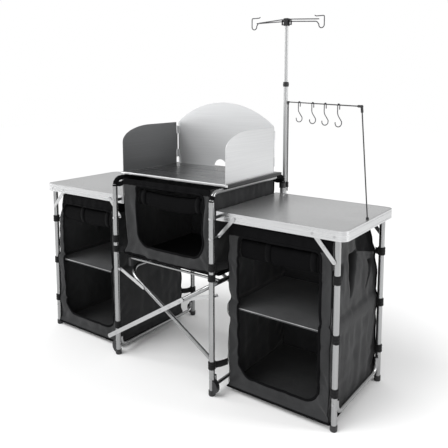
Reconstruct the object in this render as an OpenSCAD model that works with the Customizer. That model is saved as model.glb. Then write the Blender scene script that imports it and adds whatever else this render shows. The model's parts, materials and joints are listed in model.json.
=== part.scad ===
// Folding camp kitchen table: a raised cooktop on a scissor frame between two lower
// side tables, with fabric cupboards, a windscreen, a hook rack and a lantern pole.
// X runs along the table, Y from front to back, Z up from the floor.

/* [Side tables] */
// Overall length of the kitchen over both side tables
overall_length = 1750; // [1650:1:1850]
// Front to back depth of a side table
table_depth = 510; // [480:1:540]
// Height of the side table tops
table_height = 800; // [760:1:840]
// Height of the aluminium rim round each table top
rim_height = 40; // [32:1:46]
// Radius of the rim's outer corners
rim_corner = 34; // [20:1:45]

/* [Cooktop] */
// Height of the cooktop above the floor
cooktop_height = 910; // [880:1:940]
// Length of the cooktop
cooktop_length = 650; // [630:1:670]
// Front to back depth of the cooktop
cooktop_depth = 444; // [420:1:460]
// Number of planks side by side in the cooktop
plank_count = 3; // [2:1:4]

/* [Frame tubes] */
// Outside diameter of the legs
leg_d = 25; // [22:0.5:26]
// Outside diameter of the bent frame tubes
bend_d = 19; // [16:0.5:20]
// Wall thickness of the tubes
tube_wall = 1.5; // [1:0.1:2]
// Half the distance between the two end frames of the centre stand
stand_half = 302; // [296:1:306]

/* [Windscreen] */
// Height of the back panel at its sides
screen_side = 223; // [200:1:240]
// Height of the back panel at the middle of its arch
screen_arch = 334; // [300:1:350]
// Height of a wing at its front edge
wing_front = 148; // [120:1:170]

/* [Cupboards] */
// Thickness of the fabric walls
fabric = 3; // [2:0.5:4]
// Height of the shelf in the side cupboards
shelf_height = 381; // [340:1:420]

/* [Lantern pole] */
// Height of the top of the lower pole tube
pole_joint_height = 1339; // [1250:1:1400]
// Height of the underside of the lantern hub
hub_height = 1619; // [1560:1:1650]
// Direction of the lantern hanger, turned from the table's length
hanger_turn = 0; // [-20:1:20]

/* [Hook rack] */
// Height of the rack's bar
rack_height = 1250; // [1200:1:1280]
// Distance of each hook along the bar from the rack's left post
hook_stations = [113, 240, 348, 455];

/* [Hidden] */

$fn = 48;
gap = 0.3;              // clearance between neighbouring pieces
fit = 0.05;             // radial clearance of a running fit

// Side tables, right hand one; the left one is its mirror image.
table_x0 = 278;
table_x1 = overall_length / 2;
table_half = table_depth / 2;
rim_wall = 7;
rim_bottom = table_height - rim_height;
ledge_w = 8;
ledge_z = table_height - 12;
panel_t = 6;
rail_x = [440, 700];
rail_w = 24;

// Outer legs and their braces
leg_r = leg_d / 2;
outer_x = 834;
outer_y = 230.5;
leg_bottom = 4;
cap_r = 15;
cap_h = 24;
outer_leg_top = ledge_z - 2;
brace_t = 2.5;
brace_w = 18;
outer_brace_top = [738, table_height - 25];
outer_brace_low = [826, 676];
outer_brace_y = 245.5;
inner_brace_top = [377, table_height - 23];
inner_brace_low = [stand_half, 695];
inner_brace_y = table_half + 1.8;

// Centre stand: the two end frames are offset so that one nests inside the other.
right_front_y = -310;
right_rear_y = 274;
left_front_y = -286;
left_rear_y = 298;
centre_legs = [[1, right_front_y], [1, right_rear_y], [-1, left_front_y], [-1, left_rear_y]];
centre_leg_top = 850;
plank_t = 10;
bend_r = bend_d / 2;
hoop_top = cooktop_height - plank_t - 4 - bend_r;
hoop_bend = 38;
hoop_tail = 790;
low_tube_r = 8;

// Scissor frames, as points [x, z] in the plane of the front
pivot_low_left = [-302, 116.1];
loop_left_low = [302, 112.5];
loop_left_top = [-245, 446];
bar_end = [-350, 86.2];
bar_top = [126, 382.3];
loop_right_low = [30, 322.6];
loop_right_top = [280, 478.1];
loop_bend = 80;
left_loop_y = [-267.5, 231.5];
right_loop_y = [-287.5, 251.5];
flat_bar_y = [-301, 264.5];
flat_t = 3;
flat_w = 20;
link_w = 16;
left_link = [[-281.5, 440], [-131, 376.5]];
right_link = [[302, 436], [111, 373]];
left_link_y = [-279.5, 243];
right_link_y = [-276, 240];
cross_point = [-6, 300.3];
rod_r = 6;
rod_z = loop_right_top[1] + bend_r + rod_r;
rod_y = [-245, 205];

// Windscreen
screen_y = 187;
screen_half = 303;
sheet = 1.5;
screen_z = cooktop_height + 0.4;
hinge_x = 309.5;
left_hinge_y = 181.5;
right_hinge_y = 176.5;
pin_r = 1.5;
knuckle_r = 3.5;
knuckle_z = [945, 985.5, 1071.5, 1112];
wing_root = 5.5;

// Cupboards, as [low, high] along X, Y and Z
side_x = [335, 819];
side_y = [-241, 241];
side_z = [24, 752];
side_taper = [490, 56, 635];  // [height where it starts, inset at the top, height of its knee]
side_door_x = [388, 769];
side_door_z = [88, 704];
centre_x = [-266, 266];
centre_y = [-272, 250];
centre_z = [rod_z + rod_r + 1, 890];
centre_door_x = [-178, 238];
centre_door_z = [577, 866];
board_t = 6;

// Lantern pole
pole_x = 300;
pole_y = 299.5;
pole_r = 10.25;
upper_r = 8;
pole_bottom = 420;
upper_bottom = 1120;
spigot_r = 5;
spigot_h = 16;
hub_h = 36;
wire_r = 2.2;
wire_levels = [[0, hub_h - 14, 0], [180, hub_h - 4, 3.5]];  // [direction, height, tail droop]

// Hook rack: left post beside the pole, right post leaning in from the table's end
post_r = 2.6;
rack_left = [pole_x + 15.2, pole_y];
rack_right_foot = [862, -19];
rack_right_top = [834, -40];
rack_run = rack_right_top - rack_left;
rack_length = norm(rack_run);
rack_angle = atan2(rack_run[1], rack_run[0]);
hook_loop = post_r + wire_r + 2 * fit;

// ---------- shared shapes ----------

// Round bar from point a to point b.
module bar(a, b, r) {
  v = b - a;
  translate(a)
    rotate([0, acos(v[2] / norm(v)), atan2(v[1], v[0])])
      cylinder(h = norm(v), r = r);
}

// Points of an arc in the XY plane, from the angle start to the angle end.
function arc_points(centre, radius, start, end, steps) =
  [for (i = [0:steps])
    let(a = start + (end - start) * i / steps)
    [centre[0] + radius * cos(a), centre[1] + radius * sin(a)]];

function unit(v) = v / norm(v);

// Sideways vector at point i of a path, made longer where the path turns so that a wire keeps its width.
function across(path, i) =
  let(last = len(path) - 1,
      before = unit(path[max(1, i)] - path[max(1, i) - 1]),
      after = unit(path[min(last, i + 1)] - path[min(last - 1, i)]),
      both = before + after)
  [-both[1], both[0]] * 2 / (both * both);

// Round wire bent along a path of points in the XY plane.
module bent_wire(path, r) {
  sides = 12;
  last = len(path) - 1;
  points = [for (i = [0:last])
    let(side = across(path, i) * r)
    for (k = [0:sides - 1])
      let(a = 360 * k / sides)
      [path[i][0] + side[0] * cos(a), path[i][1] + side[1] * cos(a), r * sin(a)]];
  walls = [for (i = [0:last - 1])
    for (k = [0:sides - 1])
      let(a = i * sides + k, b = i * sides + (k + 1) % sides)
      [a, b, b + sides, a + sides]];
  first_end = [for (k = [sides - 1:-1:0]) k];
  last_end = [for (k = [0:sides - 1]) last * sides + k];
  polyhedron(points = points, faces = concat([first_end], walls, [last_end]), convexity = 6);
}

// Tube standing on z0 and ending at z1.
module tube(z0, z1, r, wall = tube_wall) {
  difference() {
    translate([0, 0, z0]) cylinder(h = z1 - z0, r = r);
    translate([0, 0, z0 - 1]) cylinder(h = z1 - z0 + 2, r = r - wall);
  }
}

// Solid U in the XY plane: two arms along X at the heights y0 and y1, joined at x1.
module u_core(x0, x1, y0, y1, bend, r) {
  for (side = [0, 1]) {
    y = side == 0 ? y0 : y1;
    inward = side == 0 ? bend : -bend;
    translate([x0, y, 0]) rotate([0, 90, 0]) cylinder(h = x1 - bend - x0, r = r);
    translate([x1 - bend, y + inward, 0])
      rotate([0, 0, side == 0 ? -90 : 0])
        rotate_extrude(angle = 90) translate([bend, 0]) circle(r = r, $fn = 32);
  }
  translate([x1, y0 + bend, 0]) rotate([-90, 0, 0]) cylinder(h = y1 - y0 - 2 * bend, r = r);
}

// Hollow U tube.
module u_tube(x0, x1, y0, y1, bend, r) {
  difference() {
    u_core(x0, x1, y0, y1, bend, r);
    u_core(x0 - 1, x1, y0, y1, bend, r - tube_wall);
  }
}

// Flat bar with round ends between two points [x, z], standing on edge at depth y.
module flat_bar(a, b, width, thick, y) {
  v = b - a;
  translate([a[0], y + thick / 2, a[1]])
    rotate([90, 0, 0])
      rotate([0, 0, atan2(v[1], v[0])])
        linear_extrude(thick) {
          circle(r = width / 2);
          translate([0, -width / 2]) square([norm(v), width]);
          translate([norm(v), 0]) circle(r = width / 2);
        }
}

// Bolt or rivet along Y from y0 to y1 with a low head at the y0 end.
module rivet(x, z, y0, y1, r, head = 0) {
  low = min(y0, y1);
  translate([x, low, z]) rotate([-90, 0, 0]) cylinder(h = abs(y1 - y0), r = r);
  if (head > 0)
    translate([x, y0 < y1 ? y0 - 1.6 : y0, z]) rotate([-90, 0, 0]) cylinder(h = 1.6, r = head);
}

// Draws its children and their mirror image in X.
module both_sides() {
  children();
  mirror([1, 0, 0]) children();
}

// ---------- side tables ----------

// Outline of a table top, drawn in by the inset, with its wide corners at the outer end.
module table_outline(inset) {
  x0 = table_x0 + inset;
  x1 = table_x1 - inset;
  half = table_half - inset;
  r_in = 9 - inset / 2;
  r_out = rim_corner - inset;
  translate([x0 + r_in, -half]) square([x1 - r_out - x0 - r_in, 2 * half]);
  translate([x0, r_in - half]) square([r_in, 2 * (half - r_in)]);
  translate([x1 - r_out, r_out - half]) square([r_out, 2 * (half - r_out)]);
  for (side = [-1, 1]) {
    translate([x0 + r_in, side * (half - r_in)]) circle(r = r_in, $fn = 64);
    translate([x1 - r_out, side * (half - r_out)]) circle(r = r_out, $fn = 64);
  }
}

module rim_ring(z, h, outer, inner) {
  translate([0, 0, z])
    linear_extrude(h)
      difference() {
        table_outline(outer);
        table_outline(inner);
      }
}

module tabletop_rim() {
  groove_depth = 0.8;
  color("silver") {
    difference() {
      rim_ring(rim_bottom, rim_height, 0, rim_wall);
      for (z = [rim_bottom + 7, table_height - 9])
        rim_ring(z, 2, -1, groove_depth);
    }
    rim_ring(ledge_z, 5.7, rim_wall, rim_wall + ledge_w);
  }
}

module tabletop_panel() {
  color("dimgray")
    translate([0, 0, table_height - panel_t - gap])
      linear_extrude(panel_t)
        table_outline(rim_wall + 0.8);
}

module left_tabletop_rim() { mirror([1, 0, 0]) tabletop_rim(); }
module right_tabletop_rim() { tabletop_rim(); }
module left_tabletop_panel() { mirror([1, 0, 0]) tabletop_panel(); }
module right_tabletop_panel() { tabletop_panel(); }

// Rails that carry each panel from front to back.
module tabletop_crossrails() {
  rail_half = table_half - rim_wall - ledge_w - 1;
  rail_h = 16;
  color("silver")
    both_sides()
      for (x = rail_x)
        translate([x - rail_w / 2, -rail_half, table_height - panel_t - 2 * gap - rail_h])
          cube([rail_w, 2 * rail_half, rail_h]);
}

// ---------- outer legs ----------

module outer_leg_pair() {
  for (y = [-outer_y, outer_y])
    translate([outer_x, y, 0]) tube(leg_bottom, outer_leg_top, leg_r);
}

module left_outer_legs() { color("silver") mirror([1, 0, 0]) outer_leg_pair(); }
module right_outer_legs() { color("silver") outer_leg_pair(); }

// Low tubes that join each pair of outer legs, with their ends bent up against the legs.
module outer_stretchers() {
  arm_y = outer_y - leg_r - bend_r - gap;
  bottom = 57;
  top = 118;
  color("silver")
    both_sides()
      translate([outer_x, 0, 0])
        rotate([0, 90, 0]) u_tube(-top, -bottom, -arm_y, arm_y, 45, bend_r);
}

// Plastic cap under a leg.
module foot_cap(x, y) {
  translate([x, y, 0])
    difference() {
      union() {
        cylinder(h = 4, r1 = cap_r - 2, r2 = cap_r);
        translate([0, 0, 4]) cylinder(h = cap_h - 4, r = cap_r);
      }
      translate([0, 0, leg_bottom]) cylinder(h = cap_h, r = leg_r + fit);
    }
}

module outer_feet() {
  color("black")
    both_sides()
      for (y = [-outer_y, outer_y])
        foot_cap(outer_x, y);
}

module outer_leg_braces() {
  color("silver")
    both_sides()
      for (y = [-outer_brace_y, outer_brace_y])
        flat_bar(outer_brace_top, outer_brace_low, brace_w, brace_t, y);
}

module inner_table_braces() {
  color("silver")
    both_sides()
      for (y = [-inner_brace_y, inner_brace_y])
        flat_bar(inner_brace_low, inner_brace_top, brace_w - 2, brace_t, y);
}

// Bolts and rivets of the tables, braces and stretchers.
module frame_bolts() {
  middle = (outer_brace_top + outer_brace_low) / 2;
  color("lightgray") {
    both_sides()
      for (side = [-1, 1]) {
        rivet(outer_brace_top[0], outer_brace_top[1], side * table_half,
              side * (outer_brace_y - 4), 3, 5);
        rivet(outer_x - 6, outer_brace_top[1], side * table_half, side * (outer_y - 2), 3, 5);
        rivet(outer_brace_low[0], outer_brace_low[1], side * (outer_brace_y + 1.3),
              side * (outer_y - 2), 3, 5);
        rivet(middle[0], middle[1], side * (outer_brace_y + 1.3),
              side * (outer_brace_y - 1.3), 3, 4.5);
        rivet(inner_brace_top[0], inner_brace_top[1], side * (inner_brace_y + 1.3),
              side * (table_half - rim_wall - 2), 3, 6);
        rivet(outer_x, 112, side * (outer_y + leg_r), side * (outer_y - leg_r - bend_r), 2.5, 4);
      }
    for (leg = centre_legs) {
      side = sign(leg[1]);
      // Table brace to leg, table end to leg, and stretcher to leg
      rivet(leg[0] * inner_brace_low[0], inner_brace_low[1], leg[1] + side * leg_r,
            side * (inner_brace_y - 1.3), 3.5, 6);
      rivet(leg[0] * stand_half, table_height - 20, leg[1] + side * leg_r,
            side * (table_half - rim_wall - 2), 3.5, 6);
      rivet(leg[0] * stand_half, 76, leg[1] + side * leg_r, leg[1] - side * (leg_r + low_tube_r),
            2.5, 4);
    }
  }
}

// ---------- centre stand ----------

module centre_leg_pair(x, y_front, y_rear) {
  for (y = [y_front, y_rear])
    translate([x, y, 0]) tube(leg_bottom, centre_leg_top, leg_r);
}

// Bent tube over the top of an end frame, with its tails inside the legs.
module hoop(x, y_front, y_rear) {
  translate([x, 0, 0])
    rotate([0, -90, 0])
      u_tube(hoop_tail, hoop_top, y_front, y_rear, hoop_bend, bend_r);
}

module left_centre_legs() {
  color("silver") centre_leg_pair(-stand_half, left_front_y, left_rear_y);
}
module right_centre_legs() {
  color("silver") centre_leg_pair(stand_half, right_front_y, right_rear_y);
}
module left_centre_hoop() {
  color("silver") hoop(-stand_half, left_front_y, left_rear_y);
}
module right_centre_hoop() {
  color("silver") hoop(stand_half, right_front_y, right_rear_y);
}

// Bushings in the leg tops, spacers at the table ends and saddles under the support rods.
module plastic_spacers() {
  bush_r = leg_r - tube_wall - fit;
  bush_h = 30;
  saddle = 16;
  color("black") {
    for (leg = centre_legs) {
      side = sign(leg[1]);
      near = table_half + gap;
      far = abs(leg[1]) - leg_r;
      translate([leg[0] * stand_half, leg[1], 0])
        tube(centre_leg_top - bush_h, centre_leg_top, bush_r, bush_r - bend_r - fit);
      translate([leg[0] * stand_half, side * (near + far) / 2, table_height - 20])
        rotate([90, 0, 0])
          tube((near - far) / 2, (far - near) / 2, 7, 3.4);
    }
    for (y = rod_y)
      translate([loop_left_top[0] - saddle / 2, y - saddle / 2, loop_left_top[1] + bend_r - 3])
        difference() {
          cube([saddle, saddle, rod_z + 2 - loop_left_top[1] - bend_r + 3]);
          translate([-1, saddle / 2, rod_z - loop_left_top[1] - bend_r + 3])
            rotate([0, 90, 0]) cylinder(h = saddle + 2, r = rod_r + fit);
          translate([saddle / 2, -1, 3 - bend_r])
            rotate([-90, 0, 0]) cylinder(h = saddle + 2, r = bend_r + fit);
        }
  }
}

// Low tubes that join the front and rear leg of each end frame.
module centre_stretchers() {
  inset = leg_r + low_tube_r + gap;
  bottom = 38;
  top = 84;
  color("silver") {
    translate([stand_half, 0, 0])
      rotate([0, 90, 0])
        u_tube(-top, -bottom, right_front_y + inset, right_rear_y - inset, 30, low_tube_r);
    translate([-stand_half, 0, 0])
      rotate([0, 90, 0])
        u_tube(-top, -bottom, left_front_y + inset, left_rear_y - inset, 30, low_tube_r);
  }
}

// Plastic D-shaped brackets that wrap the outer side of the centre legs and their feet.
module foot_side_brackets() {
  disc_r = 34;
  disc_z = 41;
  thick = 20;
  wrap = 8;
  color("black")
    for (leg = centre_legs)
      translate([leg[0] * stand_half, leg[1], 0])
        difference() {
          intersection() {
            translate([0, thick / 2, disc_z])
              rotate([90, 0, 0]) cylinder(h = thick, r = disc_r);
            translate([leg[0] > 0 ? wrap : -wrap - disc_r, -thick, disc_z - disc_r])
              cube([disc_r, 2 * thick, 2 * disc_r]);
          }
          cylinder(h = cap_h + fit, r = cap_r + fit);
          cylinder(h = disc_z + 2 * disc_r, r = leg_r + fit);
        }
}

module centre_feet() {
  color("black") {
    for (y = [right_front_y, right_rear_y])
      foot_cap(stand_half, y);
    for (y = [left_front_y, left_rear_y])
      foot_cap(-stand_half, y);
  }
}

// U-shaped scissor tube, rising from its open low end to its cross bar.
module scissor_loop(low, top, y_pair, r) {
  v = top - low;
  translate([low[0], 0, low[1]])
    rotate([0, -atan2(v[1], v[0]), 0])
      u_tube(0, norm(v), y_pair[0], y_pair[1], loop_bend, r);
}

module cross_loop_left() {
  color("silver") scissor_loop(loop_left_low, loop_left_top, left_loop_y, bend_r);
}

module cross_loop_right() {
  color("silver") scissor_loop(loop_right_low, loop_right_top, right_loop_y, bend_r);
}

// Flat bars that carry the right hand loop on down to the left legs.
module cross_flat_bars() {
  color("silver")
    for (y = flat_bar_y)
      flat_bar(bar_end, bar_top, flat_w, flat_t, y);
}

module cross_links() {
  color("silver") {
    for (y = left_link_y)
      flat_bar(left_link[0], left_link[1], link_w, flat_t, y);
    for (y = right_link_y)
      flat_bar(right_link[0], right_link[1], link_w, flat_t, y);
  }
}

// Pivot pins and rivets of the scissor frames and links.
module cross_pins() {
  pin = 3.5;
  head = 6;
  lug = 12;
  color("gray") {
    // Crossing pivots, loop to bar rivets and link pivots, front then rear
    rivet(cross_point[0], cross_point[1], -302.5, -260, pin, head);
    rivet(cross_point[0], cross_point[1], 266, 224, pin, head);
    for (p = [[48, 333.8], right_link[1]]) {
      rivet(p[0], p[1], -302.5, -275, pin, head);
      rivet(p[0], p[1], 266, 238.5, pin, head);
    }
    rivet(left_link[1][0], left_link[1][1], -281, -260, pin, head);
    rivet(left_link[1][0], left_link[1][1], 244.5, 224, pin, head);
    // Pivots on the legs: bars and links to the left frame, loop and links to the right one
    rivet(pivot_low_left[0], pivot_low_left[1], -302.5, left_front_y, pin, head);
    rivet(pivot_low_left[0], pivot_low_left[1], 263, left_rear_y, pin);
    rivet(loop_left_low[0] - 8, loop_left_low[1] + 5, left_loop_y[0], right_front_y, pin);
    rivet(loop_left_low[0] - 8, loop_left_low[1] + 5, left_loop_y[1], right_rear_y, pin);
    rivet(right_link[0][0], right_link[0][1], -274, right_front_y, pin);
    rivet(right_link[0][0], right_link[0][1], 238, right_rear_y, pin);
    for (y = [left_front_y, left_rear_y]) {
      pin_y = y < 0 ? left_link_y[0] : left_link_y[1];
      rivet(left_link[0][0], left_link[0][1], pin_y, y, pin);
      translate([left_link[0][0] - lug, y - 3, left_link[0][1] - lug / 2])
        cube([lug + 3, 6, lug]);
    }
  }
}

// Rods that carry the floor of the centre cupboard.
module cupboard_support_rods() {
  color("silver")
    for (y = rod_y)
      bar([-241, y, rod_z], [292, y, rod_z], rod_r);
}

// ---------- cooktop and windscreen ----------

// Planks side by side, each with a shallow groove round its top.
module cooktop_planks() {
  pitch = cooktop_depth / plank_count;
  groove = 1.2;
  color("darkgray")
    for (i = [0:plank_count - 1])
      translate([-cooktop_length / 2 + 12, -cooktop_depth / 2 + i * pitch, cooktop_height - plank_t])
        difference() {
          cube([cooktop_length - 24, pitch - gap, plank_t]);
          for (y = [6, pitch - 6 - groove])
            translate([-1, y, plank_t - groove]) cube([cooktop_length, groove, groove + 1]);
        }
}

// Black plastic strips along both ends of the cooktop, and the pads that rest on the hoops.
module cooktop_edge_strips() {
  strip_w = 11.5;
  pad = 26;
  color("black")
    both_sides() {
      translate([cooktop_length / 2 - strip_w, -cooktop_depth / 2 - 2, cooktop_height - plank_t - 2])
        cube([strip_w, cooktop_depth + 4, plank_t + 2]);
      for (y = [-165, 165])
        translate([stand_half - pad / 2, y - pad / 2, hoop_top + bend_r])
          cube([pad, pad, cooktop_height - plank_t - gap / 2 - hoop_top - bend_r]);
    }
}

// Knuckles from the back panel round one hinge pin, on the leaf that spaces them off.
module back_knuckles(side, hinge_y) {
  for (z = [knuckle_z[0], knuckle_z[2]]) {
    h = z == knuckle_z[0] ? knuckle_z[1] - z : knuckle_z[3] - z;
    difference() {
      union() {
        translate([side * hinge_x, hinge_y, z]) cylinder(h = h, r = knuckle_r);
        translate([side > 0 ? hinge_x - 14 : -hinge_x, hinge_y + 2, z])
          cube([14, screen_y - sheet / 2 - hinge_y - 2 + 0.2, h]);
      }
      translate([side * hinge_x, hinge_y, z - 1]) cylinder(h = h + 2, r = pin_r + fit);
    }
  }
}

module windscreen_back() {
  arch_rise = screen_arch - screen_side;
  arch_r = (screen_half * screen_half + arch_rise * arch_rise) / (2 * arch_rise);
  outlet_r = 40;
  outlet_x = -18;
  color("lightgray") {
    translate([0, screen_y + sheet / 2, screen_z])
      rotate([90, 0, 0])
        linear_extrude(sheet)
          difference() {
            intersection() {
              translate([-screen_half, 0]) square([2 * screen_half, screen_arch]);
              translate([0, screen_arch - arch_r]) circle(r = arch_r, $fn = 180);
            }
            translate([outlet_x, 0]) circle(r = outlet_r, $fn = 64);
          }
    back_knuckles(-1, left_hinge_y);
    back_knuckles(1, right_hinge_y);
  }
}

module windscreen_hinge_pins() {
  color("gray")
    for (hinge = [[-hinge_x, left_hinge_y], [hinge_x, right_hinge_y]])
      translate([hinge[0], hinge[1], 0]) {
        translate([0, 0, knuckle_z[0] - 1]) cylinder(h = knuckle_z[3] - knuckle_z[0] + 2, r = pin_r);
        for (z = [knuckle_z[0] - 2.2, knuckle_z[3] + 0.2])
          translate([0, 0, z]) cylinder(h = 2, r = 2.6);
      }
}

// Wing that swings on the pin at its rear edge; its front corner is a quarter ellipse.
module wing(side, hinge_y) {
  length = hinge_y + cooktop_depth / 2;
  sweep = 190;
  rise = screen_side - wing_front;
  rivet_z = 118;
  difference() {
    union() {
      translate([side * hinge_x - sheet / 2, hinge_y, screen_z])
        rotate([90, 0, 90])
          linear_extrude(sheet)
            polygon(concat(
              [[-wing_root, 0], [-length, 0]],
              [for (a = [0:6:90])
                [sweep - length - sweep * cos(a), wing_front + rise * sin(a)]],
              [[-wing_root, screen_side]]));
      translate([side * hinge_x, hinge_y, knuckle_z[1] + gap])
        cylinder(h = knuckle_z[2] - knuckle_z[1] - 2 * gap, r = knuckle_r);
      translate([side * hinge_x - sheet / 2, hinge_y - wing_root - 1, knuckle_z[1] + gap])
        cube([sheet, wing_root - 1, knuckle_z[2] - knuckle_z[1] - 2 * gap]);
      translate([side * hinge_x - 1.6, hinge_y - length + 9, screen_z + rivet_z])
        rotate([0, 90, 0]) cylinder(h = 3.2, r = 3);
    }
    translate([side * hinge_x, hinge_y, knuckle_z[1] - 1])
      cylinder(h = knuckle_z[2] - knuckle_z[1] + 2, r = pin_r + fit);
  }
}

module windscreen_left_wing() { color("gray") wing(-1, left_hinge_y); }
module windscreen_right_wing() { color("lightgray") wing(1, right_hinge_y); }

// ---------- cupboards ----------

// Rectangle from x to y ranges with its corners rounded, r_low below and r_high above.
module door_outline(x, z, r_low, r_high) {
  translate([x[0], z[0] + r_low]) square([x[1] - x[0], z[1] - z[0] - r_low - r_high]);
  translate([x[0] + r_low, z[0]]) square([x[1] - x[0] - 2 * r_low, r_low]);
  translate([x[0] + r_high, z[1] - r_high]) square([x[1] - x[0] - 2 * r_high, r_high]);
  for (end = [[x[0], 1], [x[1], -1]]) {
    translate([end[0] + end[1] * r_low, z[0] + r_low]) circle(r = r_low, $fn = 64);
    translate([end[0] + end[1] * r_high, z[1] - r_high]) circle(r = r_high, $fn = 64);
  }
}

// Front profile of a side cupboard, pulled in towards the top of its outer wall.
module side_profile(inset) {
  x0 = side_x[0] + inset;
  x1 = side_x[1] - inset;
  z0 = side_z[0] + inset;
  z1 = side_z[1] - inset;
  polygon([[x0, z0], [x1, z0], [x1, side_taper[0]], [x1 - side_taper[1] / 3, side_taper[2]],
           [x1 - side_taper[1], z1], [x0, z1]]);
}

// Slab along Y, from y0 to y1, of a shape drawn in X and Z.
module along_y(y0, y1) {
  translate([0, y1, 0]) rotate([90, 0, 0]) linear_extrude(y1 - y0) children();
}

module side_cupboard() {
  difference() {
    along_y(side_y[0], side_y[1]) side_profile(0);
    along_y(side_y[0] + fabric, side_y[1] - fabric) side_profile(fabric);
    along_y(side_y[0] - 1, side_y[0] + fabric + 1) door_outline(side_door_x, side_door_z, 60, 24);
  }
}

module left_cupboard() { color("darkslategray") mirror([1, 0, 0]) side_cupboard(); }
module right_cupboard() { color("darkslategray") side_cupboard(); }

module centre_cupboard() {
  color("darkslategray")
    difference() {
      translate([centre_x[0], centre_y[0], centre_z[0]])
        cube([centre_x[1] - centre_x[0], centre_y[1] - centre_y[0], centre_z[1] - centre_z[0]]);
      translate([centre_x[0] + fabric, centre_y[0] + fabric, centre_z[0] + fabric])
        cube([centre_x[1] - centre_x[0] - 2 * fabric, centre_y[1] - centre_y[0] - 2 * fabric,
              centre_z[1] - centre_z[0] - 2 * fabric]);
      along_y(centre_y[0] - 1, centre_y[0] + fabric + 1)
        door_outline(centre_door_x, centre_door_z, 70, 20);
    }
}

// Stiff board lying between the side walls of a cupboard at height z.
module board(x, y, z) {
  inset = fabric + 2;
  translate([x[0] + inset, y[0] + inset, z])
    cube([x[1] - x[0] - 2 * inset, y[1] - y[0] - 2 * inset, board_t]);
}

module left_shelf() { color("dimgray") mirror([1, 0, 0]) board(side_x, side_y, shelf_height); }
module right_shelf() { color("dimgray") board(side_x, side_y, shelf_height); }
module left_floor_board() {
  color("dimgray") mirror([1, 0, 0]) board(side_x, side_y, side_z[0] + fabric + gap);
}
module right_floor_board() {
  color("dimgray") board(side_x, side_y, side_z[0] + fabric + gap);
}
module centre_floor_board() {
  color("dimgray") board(centre_x, centre_y, centre_z[0] + fabric + gap);
}

// Door flap rolled up and tied inside the top of its opening.
module door_roll(x, y_front, z_top, r, drop) {
  y = y_front + fabric + r + 2;
  for (z = [z_top - r, z_top - r - drop])
    bar([x[0] + 8, y, z], [x[1] - 8, y, z], r);
  translate([x[0] + 8, y - r, z_top - r - drop]) cube([x[1] - x[0] - 16, 2 * r, drop]);
}

module right_door_roll() {
  color("black") door_roll(side_door_x, side_y[0], side_door_z[1] - 4, 18, 60);
}
module left_door_roll() { mirror([1, 0, 0]) right_door_roll(); }
module centre_door_roll() {
  color("black") door_roll(centre_door_x, centre_y[0], centre_door_z[1] - 4, 18, 64);
}

// Webbing strap round a leg at [x, y], running on to the cupboard corner.
module strap(leg, corner, z, h) {
  thick = 2.2;
  v = corner - leg;
  reach = norm(v) - leg_r - 2.6;
  translate([leg[0], leg[1], z - h / 2]) {
    tube(0, h, leg_r + 0.2 + thick, thick);
    rotate([0, 0, atan2(v[1], v[0])])
      translate([leg_r + 0.6, -thick / 2, 0]) cube([reach, thick, h]);
  }
}

module leg_straps() {
  wide = 30;
  color("black") {
    both_sides()
      for (y = [-1, 1])
        for (z = [605, 372, 156])
          strap([outer_x, y * outer_y], [side_x[1] - (z > 520 ? 11 : 0), y * (side_y[1] - 14)],
                z, wide);
    for (leg = centre_legs)
      for (z = leg[0] > 0 ? [570, 137] : [591, 154])
        strap([leg[0] * stand_half, leg[1]], [leg[0] * side_x[0], sign(leg[1]) * side_y[1]], z, wide);
    for (leg = centre_legs)
      strap([leg[0] * stand_half, leg[1]],
            [leg[0] * centre_x[1], leg[1] < 0 ? centre_y[0] : centre_y[1]],
            leg[0] > 0 ? 525 : 541, wide);
  }
}

// ---------- lantern pole ----------

module lantern_lower_tube() {
  color("silver")
    translate([pole_x, pole_y, 0])
      tube(pole_bottom, pole_joint_height, pole_r, pole_r - upper_r - fit);
}

// Upper tube with the spigot that the hub turns on.
module lantern_upper_tube() {
  color("silver")
    translate([pole_x, pole_y, 0]) {
      tube(upper_bottom, hub_height - 8, upper_r);
      translate([0, 0, hub_height - 8]) cylinder(h = 8 - gap, r = upper_r);
      translate([0, 0, hub_height - gap]) cylinder(h = spigot_h + gap, r = spigot_r);
    }
}

// Twist-lock collar round the end of the lower tube.
module pole_lock_collar() {
  low = pole_joint_height - 14;
  collar_r = 13.5;
  color("black")
    translate([pole_x, pole_y, low])
      difference() {
        union() {
          cylinder(h = 23, r = collar_r);
          translate([-collar_r - 2, -2, 4]) cube([2 * collar_r + 4, 4, 12]);
        }
        translate([0, 0, -1]) cylinder(h = 15 + gap, r = pole_r + fit);
        translate([0, 0, -1]) cylinder(h = 30, r = upper_r + fit);
      }
}

// Hub with an open ear on each side; it turns on the upper tube's spigot.
module lantern_hub() {
  half = 11;
  ear = 15;
  ear_low = 4;
  ear_h = 24;
  color("black")
    difference() {
      translate([pole_x, pole_y, hub_height])
        rotate([0, 0, hanger_turn])
          union() {
            translate([-half, -half, 0]) cube([2 * half, 2 * half, hub_h]);
            for (side = [-1, 1])
              translate([side * (half + ear / 2) - ear / 2, -5, ear_low])
                difference() {
                  cube([ear, 10, ear_h]);
                  translate([3, -1, 4]) cube([ear - 6, 12, ear_h - 8]);
                }
          }
      translate([pole_x, pole_y, hub_height - 1]) cylinder(h = spigot_h + 2, r = spigot_r + fit);
      for (wire = wire_levels)
        translate([pole_x, pole_y, hub_height + wire[1]])
          rotate([0, 0, hanger_turn + wire[0]])
            translate([-half - 1, 5, 0]) rotate([0, 90, 0]) cylinder(h = 2 * half + 2, r = 3);
      // The lower wire's way through both ears
      translate([pole_x, pole_y, hub_height + wire_levels[0][1]])
        rotate([0, 0, hanger_turn])
          for (x = [-half - ear - 1, half - 0.5])
            translate([x, 5, 0]) rotate([0, 90, 0]) cylinder(h = ear + 1.5, r = 3.9);
    }
}

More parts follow.
